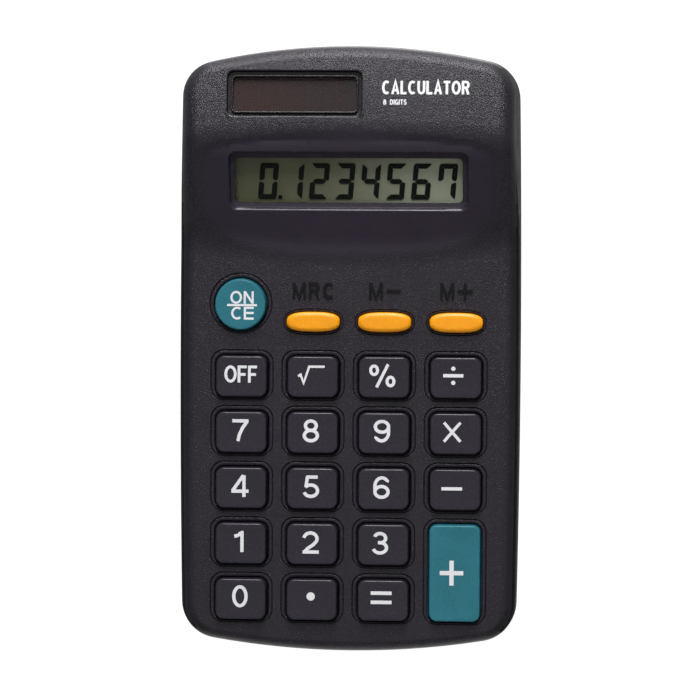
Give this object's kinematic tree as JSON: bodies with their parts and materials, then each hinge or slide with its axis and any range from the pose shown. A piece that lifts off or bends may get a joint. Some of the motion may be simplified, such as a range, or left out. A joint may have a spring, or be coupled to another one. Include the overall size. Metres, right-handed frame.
{
  "type": "pocket calculator",
  "caption": "Pocket calculator with a raised sloping display end, a solar cell, sprung keys and a sliding battery door over a single AA cell.",
  "frame": {"origin": "centre of the bounding box, on the plane of the flat back", "axes": "+X to the right across the keys, +Y towards the display end, +Z out of the keypad"},
  "size_m": [0.064, 0.1136, 0.02],
  "materials": {
    "case_front": "fine moulded texture, slight violet tint",
    "case_rear": "fine moulded texture",
    "window": "clear polished acrylic",
    "lcd_glass": "polarised glass, olive green",
    "reflector": "satin foil",
    "white_plastic": "plain moulded",
    "steel": "zinc plated",
    "ribbon": "polyimide film",
    "solar_window": "clear polished acrylic",
    "solar_cell": "dark brown thin-film cell",
    "blue_insulation": "smooth",
    "board": "solder mask",
    "resin": "potting resin",
    "can": "sleeved can",
    "membrane": "translucent silicone",
    "carbon_rubber": "conductive rubber",
    "dark_steel": "black zinc",
    "cell_jacket": "printed jacket over a metal can",
    "spring_steel": "nickel plated",
    "red_insulation": "smooth",
    "black_insulation": "smooth",
    "key_teal": "satin moulded, white print",
    "key_orange": "satin moulded",
    "key_black": "satin moulded, white print"
  },
  "bodies": {
    "case": {"front_cover": "case_front", "rear_cover": "case_rear", "display_window": "window", "lcd_front_glass": "lcd_glass", "lcd_rear_glass": "lcd_glass", "lcd_reflector": "reflector", "lcd_holder": "white_plastic", "holder_screws": "steel", "lcd_ribbon": "ribbon", "solar_window": "solar_window", "solar_cell": "solar_cell", "solar_leads": "blue_insulation", "circuit_board": "board", "controller_chip": "resin", "capacitor": "can", "key_membrane": "membrane", "contact_pills": "carbon_rubber", "board_screws": "steel", "case_screws": "dark_steel", "battery": "cell_jacket", "battery_spring": "spring_steel", "positive_contact": "spring_steel", "negative_contact": "spring_steel", "red_lead": "red_insulation", "black_lead": "black_insulation"},
    "battery_door": {"battery_door": "case_rear"},
    "key_on_ce": {"key_on_ce": "key_teal"},
    "key_plus": {"key_plus": "key_teal"},
    "key_mrc": {"key_mrc": "key_orange"},
    "key_m_minus": {"key_m_minus": "key_orange"},
    "key_m_plus": {"key_m_plus": "key_orange"},
    "key_off": {"key_off": "key_black"},
    "key_root": {"key_root": "key_black"},
    "key_percent": {"key_percent": "key_black"},
    "key_divide": {"key_divide": "key_black"},
    "key_7": {"key_7": "key_black"},
    "key_8": {"key_8": "key_black"},
    "key_9": {"key_9": "key_black"},
    "key_multiply": {"key_multiply": "key_black"},
    "key_4": {"key_4": "key_black"},
    "key_5": {"key_5": "key_black"},
    "key_6": {"key_6": "key_black"},
    "key_minus": {"key_minus": "key_black"},
    "key_1": {"key_1": "key_black"},
    "key_2": {"key_2": "key_black"},
    "key_3": {"key_3": "key_black"},
    "key_0": {"key_0": "key_black"},
    "key_point": {"key_point": "key_black"},
    "key_equals": {"key_equals": "key_black"}
  },
  "joints": [
    {"name": "battery_door_slide", "type": "slide", "parent": "case", "child": "battery_door", "axis": [0, 1, 0], "range_m": [0, 0.021]},
    {"name": "key_on_ce_press", "type": "slide", "parent": "case", "child": "key_on_ce", "axis": [0, 0, -1], "range_m": [0, 0.001], "stiffness_N_per_m": 800, "springref_m": -0.0003, "deforming": ["key_membrane"]},
    {"name": "key_plus_press", "type": "slide", "parent": "case", "child": "key_plus", "axis": [0, 0, -1], "range_m": [0, 0.001], "stiffness_N_per_m": 800, "springref_m": -0.0003, "deforming": ["key_membrane"]},
    {"name": "key_mrc_press", "type": "slide", "parent": "case", "child": "key_mrc", "axis": [0, 0, -1], "range_m": [0, 0.001], "stiffness_N_per_m": 800, "springref_m": -0.0003, "deforming": ["key_membrane"]},
    {"name": "key_m_minus_press", "type": "slide", "parent": "case", "child": "key_m_minus", "axis": [0, 0, -1], "range_m": [0, 0.001], "stiffness_N_per_m": 800, "springref_m": -0.0003, "deforming": ["key_membrane"]},
    {"name": "key_m_plus_press", "type": "slide", "parent": "case", "child": "key_m_plus", "axis": [0, 0, -1], "range_m": [0, 0.001], "stiffness_N_per_m": 800, "springref_m": -0.0003, "deforming": ["key_membrane"]},
    {"name": "key_off_press", "type": "slide", "parent": "case", "child": "key_off", "axis": [0, 0, -1], "range_m": [0, 0.001], "stiffness_N_per_m": 800, "springref_m": -0.0003, "deforming": ["key_membrane"]},
    {"name": "key_root_press", "type": "slide", "parent": "case", "child": "key_root", "axis": [0, 0, -1], "range_m": [0, 0.001], "stiffness_N_per_m": 800, "springref_m": -0.0003, "deforming": ["key_membrane"]},
    {"name": "key_percent_press", "type": "slide", "parent": "case", "child": "key_percent", "axis": [0, 0, -1], "range_m": [0, 0.001], "stiffness_N_per_m": 800, "springref_m": -0.0003, "deforming": ["key_membrane"]},
    {"name": "key_divide_press", "type": "slide", "parent": "case", "child": "key_divide", "axis": [0, 0, -1], "range_m": [0, 0.001], "stiffness_N_per_m": 800, "springref_m": -0.0003, "deforming": ["key_membrane"]},
    {"name": "key_7_press", "type": "slide", "parent": "case", "child": "key_7", "axis": [0, 0, -1], "range_m": [0, 0.001], "stiffness_N_per_m": 800, "springref_m": -0.0003, "deforming": ["key_membrane"]},
    {"name": "key_8_press", "type": "slide", "parent": "case", "child": "key_8", "axis": [0, 0, -1], "range_m": [0, 0.001], "stiffness_N_per_m": 800, "springref_m": -0.0003, "deforming": ["key_membrane"]},
    {"name": "key_9_press", "type": "slide", "parent": "case", "child": "key_9", "axis": [0, 0, -1], "range_m": [0, 0.001], "stiffness_N_per_m": 800, "springref_m": -0.0003, "deforming": ["key_membrane"]},
    {"name": "key_multiply_press", "type": "slide", "parent": "case", "child": "key_multiply", "axis": [0, 0, -1], "range_m": [0, 0.001], "stiffness_N_per_m": 800, "springref_m": -0.0003, "deforming": ["key_membrane"]},
    {"name": "key_4_press", "type": "slide", "parent": "case", "child": "key_4", "axis": [0, 0, -1], "range_m": [0, 0.001], "stiffness_N_per_m": 800, "springref_m": -0.0003, "deforming": ["key_membrane"]},
    {"name": "key_5_press", "type": "slide", "parent": "case", "child": "key_5", "axis": [0, 0, -1], "range_m": [0, 0.001], "stiffness_N_per_m": 800, "springref_m": -0.0003, "deforming": ["key_membrane"]},
    {"name": "key_6_press", "type": "slide", "parent": "case", "child": "key_6", "axis": [0, 0, -1], "range_m": [0, 0.001], "stiffness_N_per_m": 800, "springref_m": -0.0003, "deforming": ["key_membrane"]},
    {"name": "key_minus_press", "type": "slide", "parent": "case", "child": "key_minus", "axis": [0, 0, -1], "range_m": [0, 0.001], "stiffness_N_per_m": 800, "springref_m": -0.0003, "deforming": ["key_membrane"]},
    {"name": "key_1_press", "type": "slide", "parent": "case", "child": "key_1", "axis": [0, 0, -1], "range_m": [0, 0.001], "stiffness_N_per_m": 800, "springref_m": -0.0003, "deforming": ["key_membrane"]},
    {"name": "key_2_press", "type": "slide", "parent": "case", "child": "key_2", "axis": [0, 0, -1], "range_m": [0, 0.001], "stiffness_N_per_m": 800, "springref_m": -0.0003, "deforming": ["key_membrane"]},
    {"name": "key_3_press", "type": "slide", "parent": "case", "child": "key_3", "axis": [0, 0, -1], "range_m": [0, 0.001], "stiffness_N_per_m": 800, "springref_m": -0.0003, "deforming": ["key_membrane"]},
    {"name": "key_0_press", "type": "slide", "parent": "case", "child": "key_0", "axis": [0, 0, -1], "range_m": [0, 0.001], "stiffness_N_per_m": 800, "springref_m": -0.0003, "deforming": ["key_membrane"]},
    {"name": "key_point_press", "type": "slide", "parent": "case", "child": "key_point", "axis": [0, 0, -1], "range_m": [0, 0.001], "stiffness_N_per_m": 800, "springref_m": -0.0003, "deforming": ["key_membrane"]},
    {"name": "key_equals_press", "type": "slide", "parent": "case", "child": "key_equals", "axis": [0, 0, -1], "range_m": [0, 0.001], "stiffness_N_per_m": 800, "springref_m": -0.0003, "deforming": ["key_membrane"]}
  ]
}
